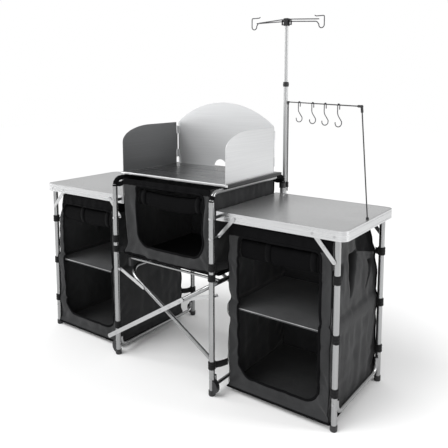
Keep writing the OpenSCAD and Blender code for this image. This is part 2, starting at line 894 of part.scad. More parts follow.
// Two wires side by side through the hub; each arm ends in an open bag hook for a lantern.
module lantern_hanger() {
  color("gray")
    for (level = wire_levels)
      translate([pole_x, pole_y, hub_height + level[1]])
        rotate([0, 0, hanger_turn + level[0]])
          translate([0, 5, 0])
            rotate([90, 0, 0]) hanger_wire(level[2]);
}

module hanger_wire(tail_droop) {
  tail = 176;
  arm = 160;
  droop = 3.5;
  u_r = 14;
  corner_r = 5;
  reach = 198;
  u_x = reach - u_r;
  u_y = -27;
  top_y = 15;
  bent_wire(concat(
    [[-tail * cos(tail_droop), -tail * sin(tail_droop)], [0, 0],
     [arm * cos(droop), -arm * sin(droop)], [arm + 6, -13], [u_x - u_r, u_y + 7]],
    arc_points([u_x, u_y], u_r, 180, 360, 12),
    arc_points([reach - corner_r, top_y - corner_r], corner_r, 0, 90, 4),
    [[reach - 43, top_y], [reach - 49, top_y + 4]]), wire_r);
}

// Clips that hold the pole against the rear right leg; the top one also takes the rack.
module pole_clips() {
  ring_r = 14;
  color("black")
    for (z = [824, 600, 450]) {
      h = 26;
      difference() {
        union() {
          translate([stand_half, right_rear_y, z]) cylinder(h = h, r = leg_r + 3.5);
          translate([pole_x, pole_y, z]) cylinder(h = h, r = ring_r);
          translate([pole_x - 7, pole_y + ring_r - 3, z + 6]) cube([14, 14.5, h - 12]);
          if (z > 800)
            translate([rack_left[0], rack_left[1], z]) cylinder(h = h, r = post_r + 3.4);
        }
        translate([stand_half, right_rear_y, z - 1]) cylinder(h = h + 2, r = leg_r + fit);
        translate([pole_x, pole_y, z - 1]) cylinder(h = h + 2, r = pole_r + fit);
        translate([rack_left[0], rack_left[1], z - 1]) cylinder(h = h + 2, r = post_r + fit);
      }
    }
}

// ---------- hook rack ----------

module rack_left_post() {
  color("dimgray")
    bar([rack_left[0], rack_left[1], table_height + 6],
        [rack_left[0], rack_left[1], rack_height - 4], post_r);
}

module rack_right_post() {
  foot = [rack_right_foot[0], rack_right_foot[1], table_height];
  top = [rack_right_top[0], rack_right_top[1], rack_height];
  v = (top - foot) / norm(top - foot);
  color("dimgray") bar(foot + 2 * v, top - 4 * v, post_r);
}

module rack_bar() {
  color("dimgray")
    translate([rack_left[0], rack_left[1], rack_height])
      rotate([0, 0, rack_angle])
        rotate([0, 90, 0])
          translate([0, 0, 4]) cylinder(h = rack_length - 8, r = post_r);
}

// Corner elbows of the rack and the foot plug on the table.
module rack_fittings() {
  bore = post_r + fit;
  right_post = [rack_right_foot[0] - rack_right_top[0], rack_right_foot[1] - rack_right_top[1],
                table_height - rack_height];
  down = right_post / norm(right_post);
  along = [cos(rack_angle), sin(rack_angle), 0];
  color("black") {
    translate([rack_left[0], rack_left[1], rack_height])
      elbow([0, 0, -1], along, 12, 3.9, bore);
    translate([rack_right_top[0], rack_right_top[1], rack_height])
      elbow(down, -along, 24, 5.2, bore);
    translate([rack_right_foot[0], rack_right_foot[1], table_height])
      difference() {
        cylinder(h = 8, r = 6);
        translate([0, 0, 1.5]) cylinder(h = 8, r = 3.4);
      }
  }
}

// Corner piece with two bored legs that start from a ball.
module elbow(a, b, leg, r, bore) {
  difference() {
    union() {
      sphere(r = r + 0.8);
      bar([0, 0, 0], a * leg, r);
      bar([0, 0, 0], b * leg, r);
    }
    for (v = [a, b])
      bar(v * 3.8, v * (leg + 1), bore);
  }
}

// S-hook hanging on the bar: a small loop over the bar and a wide open hook below.
module s_hook(station) {
  bowl_r = 15.5;
  bowl_y = -76;
  stub = 4;
  color("gray")
    translate([rack_left[0], rack_left[1], rack_height])
      rotate([0, 0, rack_angle])
        translate([station, 0, 0])
          rotate([90, 0, 90])
            bent_wire(concat(
              [[hook_loop, -19]],
              arc_points([0, 0], hook_loop, 0, 180, 12),
              [[-hook_loop, -38], [-hook_loop + 1, -42], [bowl_r - 1, bowl_y + stub]],
              arc_points([0, bowl_y], bowl_r, 0, -180, 12),
              [[-bowl_r, bowl_y + stub]]), wire_r);
}

module hook_1() { s_hook(hook_stations[0]); }
module hook_2() { s_hook(hook_stations[1]); }
module hook_3() { s_hook(hook_stations[2]); }
module hook_4() { s_hook(hook_stations[3]); }

left_tabletop_rim();
left_tabletop_panel();
right_tabletop_rim();
right_tabletop_panel();
tabletop_crossrails();
left_outer_legs();
right_outer_legs();
outer_stretchers();
outer_feet();
outer_leg_braces();
inner_table_braces();
frame_bolts();
left_centre_legs();
right_centre_legs();
left_centre_hoop();
right_centre_hoop();
plastic_spacers();
centre_stretchers();
foot_side_brackets();
centre_feet();
cross_loop_left();
cross_loop_right();
cross_flat_bars();
cross_links();
cross_pins();
cupboard_support_rods();
cooktop_planks();
cooktop_edge_strips();
windscreen_back();
windscreen_hinge_pins();
windscreen_left_wing();
windscreen_right_wing();
left_cupboard();
right_cupboard();
centre_cupboard();
left_shelf();
right_shelf();
left_floor_board();
right_floor_board();
centre_floor_board();
left_door_roll();
right_door_roll();
centre_door_roll();
leg_straps();
lantern_lower_tube();
lantern_upper_tube();
pole_lock_collar();
lantern_hub();
lantern_hanger();
pole_clips();
rack_left_post();
rack_right_post();
rack_bar();
rack_fittings();
hook_1();
hook_2();
hook_3();
hook_4();
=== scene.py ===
"""A folding camp kitchen table: its finishes, its fabric cupboards and its small wires.

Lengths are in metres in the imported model's frame: X to the right, Y to the back, Z up.
"""

import json
import math

import bmesh
import bpy
from mathutils import Matrix, Vector, noise


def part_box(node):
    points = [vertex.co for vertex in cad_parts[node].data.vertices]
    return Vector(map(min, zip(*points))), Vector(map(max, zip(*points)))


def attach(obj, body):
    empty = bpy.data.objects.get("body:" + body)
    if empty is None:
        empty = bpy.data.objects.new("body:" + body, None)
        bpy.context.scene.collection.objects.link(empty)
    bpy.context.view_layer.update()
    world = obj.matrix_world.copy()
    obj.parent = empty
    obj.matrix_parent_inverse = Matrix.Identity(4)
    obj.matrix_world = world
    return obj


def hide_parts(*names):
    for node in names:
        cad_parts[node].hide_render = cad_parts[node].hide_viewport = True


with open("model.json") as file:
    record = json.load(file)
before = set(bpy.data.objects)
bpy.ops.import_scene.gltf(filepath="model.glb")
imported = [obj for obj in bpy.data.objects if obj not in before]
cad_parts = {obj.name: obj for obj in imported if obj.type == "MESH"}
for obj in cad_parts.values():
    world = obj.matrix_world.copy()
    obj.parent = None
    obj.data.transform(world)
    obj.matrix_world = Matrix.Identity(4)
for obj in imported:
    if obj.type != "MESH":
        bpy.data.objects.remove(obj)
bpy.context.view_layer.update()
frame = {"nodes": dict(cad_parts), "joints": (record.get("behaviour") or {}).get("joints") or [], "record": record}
nodes = frame["nodes"]
scene = bpy.context.scene

WEAVE = 0.0016  # distance between the cupboard fabric's threads
CLOTH = 0.0016  # thickness of the cupboard fabric
PAINTED_FOLD_SHADE = 0.2  # painted shade: share of its brightness that the cloth's colour keeps deep in a fold
ROOM_GREY = 0.64  # the surroundings that the metal mirrors
BAND_PERIOD = 0.3142  # a wave texture's period, multiplied by its scale

LEG_RADIUS = 0.0125
OUTER_STRAPS = (0.605, 0.372, 0.156)  # heights of the straps on the side tables' outer legs
# The centre stand's legs, left and right: X, then Y of the front leg and of the back leg.
CENTRE_LEGS = ((-0.302, -0.286, 0.298), (0.302, -0.310, 0.274))
# Heights of the straps on them, left and right: the side cupboard's two, the centre cupboard's one.
CENTRE_STRAPS = ((0.591, 0.154, 0.541), (0.570, 0.137, 0.525))


# ---------- camera, light and floor ----------


def aim(obj, position, yaw, pitch):
    """Looks along +Y turned left by yaw, and down by pitch, in degrees."""
    obj.location = position
    obj.rotation_euler = (math.radians(90 - pitch), 0, math.radians(yaw))


def add_camera():
    data = bpy.data.cameras.new("camera")
    data.lens = 44.51
    data.shift_y = -0.1652
    camera = bpy.data.objects.new("camera", data)
    scene.collection.objects.link(camera)
    aim(camera, position=(1.6736, -2.1037, 1.3327), yaw=36.087, pitch=6.685)
    scene.camera = camera


def add_light(kind, name, position, target, energy, size):
    """Adds a light aimed at target. size is a sun's angle, or an area light's width and height."""
    data = bpy.data.lights.new(name, kind)
    data.energy = energy
    if kind == "AREA":
        data.shape = "RECTANGLE"
        data.size, data.size_y = size
    else:
        data.angle = size
    light = bpy.data.objects.new(name, data)
    scene.collection.objects.link(light)
    light.location = position
    light.rotation_euler = (Vector(target) - light.location).to_track_quat("-Z", "Y").to_euler()
    return light


def add_studio():
    """White backdrop, a grey room that the metal mirrors, a soft sun and strip lights."""
    world = bpy.data.worlds.new("studio")
    world.use_nodes = True
    tree = world.node_tree
    path = tree.nodes.new("ShaderNodeLightPath")
    mix = tree.nodes.new("ShaderNodeMix")
    mix.data_type = "RGBA"
    mix.inputs["A"].default_value = (ROOM_GREY, ROOM_GREY, ROOM_GREY, 1)
    mix.inputs["B"].default_value = (1, 1, 1, 1)
    tree.links.new(path.outputs["Is Camera Ray"], mix.inputs["Factor"])
    tree.links.new(mix.outputs["Result"], tree.nodes["Background"].inputs["Color"])
    scene.world = world
    add_light("SUN", "sun", (-1.4, -2.4, 3.2), target=(0, 0, 0),
              energy=1.75, size=math.radians(38))
    add_light("AREA", "left_strip", (-3.2, -1.4, 1.5), target=(0, 0, 0.7),
              energy=28, size=(0.7, 2.2))
    fill = add_light("AREA", "front_fill", (1.5, -3.3, 1.0), target=(0.2, 0, 0.4),
                     energy=20, size=(2.2, 1.6))
    fill.visible_glossy = False
    add_light("AREA", "right_strip", (3.3, 0.9, 1.7), target=(0.3, 0, 0.7),
              energy=36, size=(0.6, 2.4))
    scene.view_settings.view_transform = "Standard"
    floor = bpy.data.meshes.new("floor")
    half = 14
    floor.from_pydata([(-half, -half, 0), (half, -half, 0), (half, half, 0), (-half, half, 0)],
                      [], [(0, 1, 2, 3)])
    stage = bpy.data.objects.new("floor", floor)
    scene.collection.objects.link(stage)
    material = bpy.data.materials.new("floor")
    material.use_nodes = True
    shader = material.node_tree.nodes["Principled BSDF"]
    shader.inputs["Base Color"].default_value = (0.96, 0.96, 0.96, 1)
    shader.inputs["Roughness"].default_value = 0.9
    shader.inputs["Specular IOR Level"].default_value = 0.1
    floor.materials.append(material)


# ---------- materials ----------


class Nodes:
    """Short names for building one material's node tree."""

    def __init__(self, name):
        self.material = bpy.data.materials.new(name)
        self.material.use_nodes = True
        self.tree = self.material.node_tree
        self.shader = self.tree.nodes["Principled BSDF"]
        self.place = self.tree.nodes.new("ShaderNodeTexCoord").outputs["Object"]

    def add(self, kind, **inputs):
        node = self.tree.nodes.new(kind)
        for key, value in inputs.items():
            self.put(node.inputs[key.replace("_", " ")], value)
        return node

    def put(self, socket, value):
        if isinstance(value, bpy.types.NodeSocket):
            self.tree.links.new(value, socket)
        else:
            socket.default_value = value

    def noise(self, scale, detail=2.0, stretch=(1, 1, 1)):
        mapping = self.add("ShaderNodeMapping", Vector=self.place, Scale=stretch)
        node = self.add("ShaderNodeTexNoise", Vector=mapping.outputs[0], Scale=scale, Detail=detail)
        return node.outputs["Fac"]

    def wave(self, axis, period):
        node = self.add("ShaderNodeTexWave", Vector=self.place, Scale=BAND_PERIOD / period)
        node.wave_type = "BANDS"
        node.bands_direction = axis
        node.wave_profile = "SIN"
        return node.outputs["Fac"]

    def math(self, operation, a, b):
        node = self.tree.nodes.new("ShaderNodeMath")
        node.operation = operation
        self.put(node.inputs[0], a)
        self.put(node.inputs[1], b)
        return node.outputs[0]

    def ramp(self, fac, low, high, start=0.3, end=0.7):
        node = self.add("ShaderNodeValToRGB", Fac=fac)
        ends = node.color_ramp.elements
        ends[0].position, ends[1].position = start, end
        ends[0].color, ends[1].color = (*low, 1), (*high, 1)
        return node.outputs["Color"]

    def spread(self, fac, low, high):
        node = self.add("ShaderNodeMapRange", Value=fac)
        node.inputs["To Min"].default_value = low
        node.inputs["To Max"].default_value = high
        return node.outputs[0]

    def paint_fold_shade(self, color):
        """Paints shade into a colour where the cloth is folded in deep."""
        fold_shade_mark = self.tree.nodes.new("ShaderNodeAttribute")
        fold_shade_mark.attribute_name = "fold"
        mix = self.tree.nodes.new("ShaderNodeMix")
        mix.data_type, mix.blend_type = "RGBA", "MULTIPLY"
        self.put(mix.inputs["Factor"], fold_shade_mark.outputs["Fac"])
        self.put(mix.inputs["A"], color)
        mix.inputs["B"].default_value = (PAINTED_FOLD_SHADE, PAINTED_FOLD_SHADE, PAINTED_FOLD_SHADE, 1)
        return mix.outputs["Result"]

    def bump(self, height, strength, distance, below=None):
        node = self.add("ShaderNodeBump", Height=height, Strength=strength, Distance=distance)
        if below is not None:
            self.put(node.inputs["Normal"], below)
        return node.outputs["Normal"]


def shade(color, amount):
    return tuple(min(1.0, c * amount) for c in color)


def metal(name, color, rough, brushed=(1, 1, 1), streak=0.12, bump=0.08):
    """Satin or brushed metal, its fine lines drawn out along the axis with the small stretch."""
    n = Nodes(name)
    lines = n.noise(60, 3, brushed)
    clouds = n.noise(5, 3)
    n.put(n.shader.inputs["Metallic"], 1.0)
    n.put(n.shader.inputs["Base Color"],
          n.ramp(lines, shade(color, 1 - streak), shade(color, 1 + streak * 0.6)))
    mixed = n.math("ADD", n.math("MULTIPLY", lines, 0.6), n.math("MULTIPLY", clouds, 0.4))
    n.put(n.shader.inputs["Roughness"], n.spread(mixed, rough - 0.07, rough + 0.09))
    n.put(n.shader.inputs["Normal"], n.bump(lines, bump, 0.0004))
    return n.material


def laminate(name, color):
    n = Nodes(name)
    grain = n.noise(420, 2)
    clouds = n.noise(3, 3, (1, 1.6, 1))
    n.put(n.shader.inputs["Metallic"], 0.7)
    n.put(n.shader.inputs["Base Color"], n.ramp(clouds, shade(color, 0.93), shade(color, 1.06)))
    n.put(n.shader.inputs["Roughness"], n.spread(grain, 0.24, 0.33))
    n.put(n.shader.inputs["Coat Weight"], 0.2)
    n.put(n.shader.inputs["Coat Roughness"], 0.12)
    n.put(n.shader.inputs["Normal"], n.bump(grain, 0.05, 0.0002))
    return n.material


def plastic(name, color, rough):
    n = Nodes(name)
    grain = n.noise(900, 2)
    scuffs = n.noise(35, 4)
    n.put(n.shader.inputs["Base Color"],
          n.ramp(scuffs, shade(color, 0.8), shade(color, 1.5), 0.4, 0.75))
    n.put(n.shader.inputs["Roughness"], n.spread(scuffs, rough - 0.06, rough + 0.1))
    n.put(n.shader.inputs["Normal"], n.bump(grain, 0.18, 0.0003))
    return n.material


def woven(name, color, period=WEAVE, lift=1.0):
    """Plain weave: threads along each axis, with slubs, soft tonal change and shade painted into deep folds."""
    n = Nodes(name)
    threads = n.math("ADD", n.wave("X", period), n.wave("Y", period))
    threads = n.math("ADD", threads, n.wave("Z", period))
    slubs = n.noise(260, 2)
    clouds = n.noise(7, 4)
    tone = n.math("ADD", n.math("MULTIPLY", clouds, 0.7), n.math("MULTIPLY", slubs, 0.3))
    # The cloth's colour carries painted shade where its fold attribute is high.
    n.put(n.shader.inputs["Base Color"],
          n.paint_fold_shade(n.ramp(tone, shade(color, 0.78), shade(color, 1.28))))
    n.put(n.shader.inputs["Roughness"], n.spread(slubs, 0.72, 0.9))
    n.put(n.shader.inputs["Specular IOR Level"], 0.03 + 0.13 * lift)
    n.put(n.shader.inputs["Sheen Weight"], 0.12 * lift)
    n.put(n.shader.inputs["Sheen Roughness"], 0.45)
    wrinkles = n.noise(11, 3, (1, 1, 0.45))
    weave = n.bump(threads, 0.35, 0.0004, n.bump(wrinkles, 0.3 * lift, 0.012))
    n.put(n.shader.inputs["Normal"], n.bump(slubs, 0.15, 0.0006, weave))
    return n.material


def webbing(name, color):
    n = Nodes(name)
    ribs = n.wave("Z", 0.0042)
    threads = n.noise(700, 2)
    n.put(n.shader.inputs["Base Color"], n.ramp(threads, shade(color, 0.7), shade(color, 1.5)))
    n.put(n.shader.inputs["Roughness"], 0.8)
    n.put(n.shader.inputs["Specular IOR Level"], 0.2)
    n.put(n.shader.inputs["Sheen Weight"], 0.05)
    n.put(n.shader.inputs["Normal"], n.bump(ribs, 0.6, 0.0008, n.bump(threads, 0.2, 0.0003)))
    return n.material


ALONG_X, ALONG_Y, ALONG_Z = (0.06, 6, 6), (6, 0.06, 6), (6, 6, 0.06)  # brushed directions

FINISH = {
    "rim_aluminium": metal("rim_aluminium", (0.59, 0.595, 0.60), 0.27, (0.1, 0.1, 8), 0.08),
    "table_laminate": laminate("table_laminate", (0.55, 0.553, 0.557)),
    "frame_aluminium": metal("frame_aluminium", (0.35, 0.353, 0.356), 0.24, ALONG_Z, 0.1),
    "flat_bar_aluminium": metal("flat_bar_aluminium", (0.52, 0.524, 0.528), 0.3, ALONG_X, 0.1),
    "bolt_steel": metal("bolt_steel", (0.50, 0.50, 0.51), 0.3),
    "black_plastic": plastic("black_plastic", (0.012, 0.012, 0.013), 0.42),
    "cooktop_aluminium": metal("cooktop_aluminium", (0.21, 0.212, 0.215), 0.26, ALONG_X, 0.3, 0.15),
    # The windscreen's three sheets are one metal: the left wing's dark tone is painted shade, the right wing's and
    # back panel's light tones are painted reflection.
    "screen_back_aluminium": metal(
        "screen_back_aluminium", (0.73, 0.737, 0.744), 0.60, ALONG_X, 0.05),
    "screen_left_aluminium": metal(
        "screen_left_aluminium", (0.235, 0.237, 0.24), 0.34, ALONG_Y, 0.06),
    "screen_right_aluminium": metal(
        "screen_right_aluminium", (0.70, 0.706, 0.712), 0.4, ALONG_Y, 0.05),
    "cupboard_fabric": woven("cupboard_fabric", (0.027, 0.0274, 0.0284)),
    "shelf_board": woven("shelf_board", (0.056, 0.057, 0.059)),
    "door_fabric": woven("door_fabric", (0.0030, 0.0030, 0.0033), WEAVE, 0.06),
    "strap_webbing": webbing("strap_webbing", (0.0065, 0.0065, 0.007)),
    "pole_aluminium": metal("pole_aluminium", (0.52, 0.524, 0.528), 0.50, ALONG_Z, 0.04, 0.02),
    "hanger_steel": metal("hanger_steel", (0.10, 0.10, 0.105), 0.35),
    "rack_steel": plastic("rack_steel", (0.022, 0.022, 0.024), 0.32),
    "hook_steel": metal("hook_steel", (0.12, 0.12, 0.125), 0.3),
}
BINDING = woven("binding", (0.0036, 0.0036, 0.004), 0.0012, 0.1)
NETTING = woven("netting", (0.007, 0.007, 0.0075), 0.003, 0.1)
FLOOR_CLOTH = woven("floor_cloth", (0.022, 0.0225, 0.0235))
LIP = woven("lip", (0.50, 0.505, 0.51), 0.0012)


def slot_of(node):
    for part in frame["record"]["subparts"]:
        if part["node"] == node:
            return part["material_slot"]


def finish_cad(node, bevel=0.0):
    """Gives a CAD node its finish and, where asked, softened edges."""
    obj = nodes[node]
    material = FINISH[slot_of(node)]
    if not obj.material_slots:
        obj.data.materials.append(material)
    for place in obj.material_slots:
        place.material = material
    if bevel:
        edge = obj.modifiers.new("edges", "BEVEL")
        edge.width = bevel
        edge.segments = 2
        edge.limit_method = "ANGLE"
        edge.angle_limit = math.radians(50)
        edge.harden_normals = True


# ---------- mesh helpers ----------


def new_object(name, mesh, slot, body="stand", material=None):
    """A smooth-shaded piece that rides on a body, in its slot's finish or in another material."""
    obj = bpy.data.objects.new(name, mesh)
    scene.collection.objects.link(obj)
    mesh.materials.append(material or FINISH[slot])
    mesh.polygons.foreach_set("use_smooth", [True] * len(mesh.polygons))
    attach(obj, body)
    return obj


def only(obj):
    """Makes obj the active and only selected object, as operators need."""
    for other in bpy.context.selected_objects:
        other.select_set(False)
    obj.select_set(True)
    bpy.context.view_layer.objects.active = obj


def apply_modifiers(obj):
    only(obj)
    for modifier in list(obj.modifiers):
        bpy.ops.object.modifier_apply(modifier=modifier.name)


def lerp(a, b, t):
    return a + (b - a) * t


def spans(node):
    """A CAD node's box as its ranges in X, Y and Z."""
    low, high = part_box(node)
    return (low.x, high.x), (low.y, high.y), (low.z, high.z)


def tube_rings(bm, path, radius, sides=12, closed=False, thin=None, facing=None):
    """A tube along a path. With facing, it is oval: radius wide, and thin towards facing."""
    rings = []
    count = len(path)
    last_side = None
    for i, point in enumerate(path):
        before = path[(i - 1) % count] if closed or i else point
        after = path[(i + 1) % count] if closed or i < count - 1 else point
        along = (after - before).normalized()
        side = along.cross(facing[i] if facing else Vector((0, 0, 1)))
        if side.length < 0.15:
            side = along.cross(Vector((1, 0, 0)))
        side.normalize()
        if last_side is not None and side.dot(last_side) < 0:
            side.negate()
        last_side = side
        up = side.cross(along).normalized()
        ring = []
        for k in range(sides):
            a = 2 * math.pi * k / sides
            offset = side * math.cos(a) * radius + up * math.sin(a) * (thin or radius)
            ring.append(bm.verts.new(point + offset))
        rings.append(ring)
    pairs = list(zip(rings, rings[1:]))
    if closed:
        pairs.append((rings[-1], rings[0]))
    for a, b in pairs:
        for k in range(sides):
            bm.faces.new((a[k], a[(k + 1) % sides], b[(k + 1) % sides], b[k]))
    if not closed:
        bm.faces.new(rings[0][::-1])
        bm.faces.new(rings[-1])
    return rings


def mesh_from(bm, name):
    bmesh.ops.recalc_face_normals(bm, faces=bm.faces)
    mesh = bpy.data.meshes.new(name)
    bm.to_mesh(mesh)
    bm.free()
    return mesh


def tubes(name, paths, radius, slot, body="stand", material=None, closed=False, sides=12,
          thin=None, facing=None):
    bm = bmesh.new()
    for path in paths:
        path = [Vector(p) for p in path]
        towards = [Vector(facing)] * len(path) if facing else None
        tube_rings(bm, path, radius, sides, closed, thin, towards)
    return new_object(name, mesh_from(bm, name), slot, body, material)


def fillet(points, radius, steps=6):
    """The points with each inner corner rounded off."""
    points = [Vector(p) for p in points]
    path = [points[0]]
    for before, corner, after in zip(points, points[1:], points[2:]):
        back, ahead = before - corner, after - corner
        reach = min(radius, back.length * 0.45, ahead.length * 0.45)
        start = corner + back.normalized() * reach
        end = corner + ahead.normalized() * reach
        for i in range(steps + 1):
            t = i / steps
            path.append(start * (1 - t) ** 2 + corner * 2 * t * (1 - t) + end * t ** 2)
    path.append(points[-1])
    return path


def arc(centre, radius, start, end, steps):
    """Points on an arc in the local XY plane, angles in degrees."""
    turns = (math.radians(lerp(start, end, i / steps)) for i in range(steps + 1))
    return [Vector((centre[0] + radius * math.cos(a), centre[1] + radius * math.sin(a), 0))
            for a in turns]


def circle(x, y, z, radius, count=32):
    """Points on a level circle."""
    turns = (2 * math.pi * i / count for i in range(count))
    return [Vector((x + radius * math.cos(a), y + radius * math.sin(a), z)) for a in turns]


# ---------- cupboards ----------


def rounded_door(door, ray):
    """Where a ray from the door's middle, in X and Z, meets its rounded outline.

    door gives its ranges in X and Z, and the radius of its lower and of its upper corners."""
    x0, x1, z0, z1, low, high = door
    cx, cz = (x0 + x1) / 2, (z0 + z1) / 2
    near, far = 0.0, 2.0
    for _ in range(40):
        t = (near + far) / 2
        x, z = cx + ray[0] * t, cz + ray[1] * t
        r = low if z < cz else high
        dx = max(abs(x - cx) - (x1 - x0) / 2 + r, 0)
        dz = max(abs(z - cz) - (z1 - z0) / 2 + r, 0)
        if math.hypot(dx, dz) > r or abs(x - cx) > (x1 - x0) / 2 or abs(z - cz) > (z1 - z0) / 2:
            far = t
        else:
            near = t
    return cx + ray[0] * near, cz + ray[1] * near


def everything_of(bm):
    return bm.verts[:] + bm.edges[:] + bm.faces[:]


class Cupboard:
    """A fabric cupboard sewn from five panels, open at the top and at its door.

    x, y and z are its ranges, door its opening and hem the height where its black top band starts: black hem mesh,
    and also painted shadow under the top above it.
    side is 1 for the right one and -1 for its mirror image.
    pull gives how far the wall at x1 is drawn in, from a height and a depth of 0 to 1.
    pinned holds the heights of its straps, levels those of the boards inside.
    pleats holds the outer wall's deep folds: Y at the top and at the point, Z there, width, depth.
    net is the netting's lower edge, as two points in Y and Z, and lift raises the floor's front.
    """

    STEP = 0.0115  # size of the mesh before it is smoothed
    FRAMES = 20  # length of the simulation
    LIFTED = 0.12  # share of the depth over which the raised front comes down
    GRIP = 0.03  # distance over which a strap or a board lets go of the cloth
    POCKET = 0.012  # half the height of a board's sewn pocket
    CORNERS = {"near_front": (0, 0), "far_front": (1, 0), "far_back": (1, 1), "near_back": (0, 1)}

    def __init__(self, name, x, y, z, door, hem, side=1, pull=lambda height, back: 0.0, pinned=(),
                 levels=(), pleats=(), net=None, lift=0.0):
        self.name, self.x, self.y, self.z = name, x, y, z
        self.door, self.hem, self.side, self.pull = door, hem, side, pull
        self.pinned, self.levels = pinned, levels
        self.pleats, self.net, self.lift = pleats, net, lift
        self.nx = round((x[1] - x[0]) / self.STEP)
        self.ny = round((y[1] - y[0]) / self.STEP)
        self.nz = round((z[1] - z[0]) / self.STEP)
        self.bm = bmesh.new()

    def far_x(self, z, back):
        """X of the wall at x1, from front (back = 0) to back (back = 1)."""
        return self.x[1] - self.pull(z, back)

    def corner(self, u, v, w):
        """Point of the box: u across, v to the back, w up, each 0 to 1."""
        base = self.z[0] + self.lift * max(0.0, 1 - v / self.LIFTED)
        z = lerp(base, self.z[1], w)
        x = lerp(self.x[0], self.far_x(z, v), u)
        return Vector((self.side * x, lerp(self.y[0], self.y[1], v), z))

    def patch(self, place, nu, nv):
        grid = [[self.bm.verts.new(place(i / nu, j / nv)) for j in range(nv + 1)]
                for i in range(nu + 1)]
        for i in range(nu):
            for j in range(nv):
                self.bm.faces.new((grid[i][j], grid[i + 1][j], grid[i + 1][j + 1], grid[i][j + 1]))

    def front(self):
        """Adds rings from the panel's edge to the rounded door, and returns the door's outline."""
        edge = [(i / self.nx, 0.0) for i in range(self.nx)]
        edge += [(1.0, j / self.nz) for j in range(self.nz)]
        edge += [(1 - i / self.nx, 1.0) for i in range(self.nx)]
        edge += [(0.0, 1 - j / self.nz) for j in range(self.nz)]
        x0, x1, z0, z1, _, _ = self.door
        middle = ((x0 + x1) / 2, (z0 + z1) / 2)
        rings = 6
        rows = [[] for _ in range(rings + 1)]
        for u, w in edge:
            outer = self.corner(u, 0, w)
            ray = (self.side * outer.x - middle[0], outer.z - middle[1])
            x, z = rounded_door(self.door, ray)
            inner = Vector((self.side * x, self.y[0], z))
            for k in range(rings + 1):
                rows[k].append(self.bm.verts.new(outer.lerp(inner, k / rings)))
        count = len(edge)
        for a, b in zip(rows, rows[1:]):
            for i in range(count):
                j = (i + 1) % count
                self.bm.faces.new((a[i], a[j], b[j], b[i]))
        return [v.co.copy() for v in rows[-1]]

    def build(self):
        """Sews the panels together and cuts them along the hem and the netting's edge."""
        outline = self.front()
        self.patch(lambda a, b: self.corner(1, a, b), self.ny, self.nz)
        self.patch(lambda a, b: self.corner(1 - a, 1, b), self.nx, self.nz)
        self.patch(lambda a, b: self.corner(0, 1 - a, b), self.ny, self.nz)
        self.patch(lambda a, b: self.corner(a, b, 0), self.nx, self.ny)
        bmesh.ops.remove_doubles(self.bm, verts=self.bm.verts, dist=0.0005)
        bmesh.ops.bisect_plane(self.bm, geom=everything_of(self.bm), dist=0.0015,
                               plane_co=(0, 0, self.hem), plane_no=(0, 0, 1))
        if self.net:
            (ya, za), (yb, zb) = self.net
            around = set()
            for face in self.bm.faces:
                middle = face.calc_center_median()
                if self.on_far_wall(middle) and middle.y > ya - 0.02:
                    around.update((face, *face.edges, *face.verts))
            ordered = [part for part in everything_of(self.bm) if part in around]
            bmesh.ops.bisect_plane(self.bm, geom=ordered, dist=0.0005,
                                   plane_co=(0, ya, za), plane_no=(0, za - zb, yb - ya))
        bmesh.ops.recalc_face_normals(self.bm, faces=self.bm.faces)
        mesh = bpy.data.meshes.new(self.name)
        self.bm.to_mesh(mesh)
        self.bm.free()
        self.rest = [v.co.copy() for v in mesh.vertices]
        self.out = [v.normal.copy() for v in mesh.vertices]
        self.outline = self.nearest(outline)
        self.mesh = mesh
        return mesh

    def nearest(self, points):
        """Vertex numbers of these points, in their order."""
        lookup = {}
        for i, p in enumerate(self.rest):
            lookup[tuple(round(c, 4) for c in p)] = i
        found = []
        for p in points:
            key = tuple(round(c, 4) for c in p)
            if key in lookup and (not found or lookup[key] != found[-1]):
                found.append(lookup[key])
        return found

    def edge_line(self, place, count):
        return self.nearest([place(i / count) for i in range(count + 1)])

    def hold(self, p):
        """How firmly a point is held, 0 to 1: the top hem, the floor and the strap corners."""
        w = (p.z - self.z[0]) / (self.z[1] - self.z[0])
        top = max(0.0, 1 - (1 - w) * 40)
        floor = max(0.0, 1 - w * 30)
        corner = math.hypot(*self.corner_distances(p))
        strap = 0.0
        for height in self.pinned:
            strap = max(strap, 1 - math.hypot(corner, p.z - height) / self.GRIP)
        board = max([0.0] + [1 - (abs(p.z - level) - self.POCKET) / self.GRIP
                             for level in self.levels])
        return min(1.0, max(top, floor, strap, board))

    def depth_across(self, p):
        """How far back a point is, from 0 at the front to 1 at the back."""
        return (p.y - self.y[0]) / (self.y[1] - self.y[0])

    def on_far_wall(self, p):
        return abs(self.side * p.x - self.far_x(p.z, self.depth_across(p))) < 0.002

    def above_net_hem(self, p):
        """How far a point is above the sloping lower edge of the netting."""
        (ya, za), (yb, zb) = self.net
        return p.z - lerp(za, zb, (p.y - ya) / (yb - ya))

    def pleat(self, p):
        """Depth of the V-shaped folds in the outer wall at a point: flat-bottomed, narrow below."""
        fade = 0.022  # height over which a fold ends above its top
        depth = 0.0
        for y_top, y_low, z_top, z_low, width, size in self.pleats:
            rise = min(1.0, (p.z - z_low) / (z_top - z_low))
            if rise <= 0:
                continue
            above = max(0.0, 1 - max(0.0, p.z - z_top) / fade)
            near = 1 - abs(p.y - lerp(y_low, y_top, rise)) / (width * (0.12 + 0.88 * rise))
            if near > 0:
                depth = max(depth, size * rise ** 0.5 * min(1.0, 2.4 * near) * above)
        return depth

    def corner_distances(self, p):
        """How far a point is from the nearest upright corner, across and in depth."""
        x = self.side * p.x
        across = min(abs(x - self.x[0]), abs(x - self.far_x(p.z, self.depth_across(p))))
        return across, min(abs(p.y - self.y[0]), abs(p.y - self.y[1]))

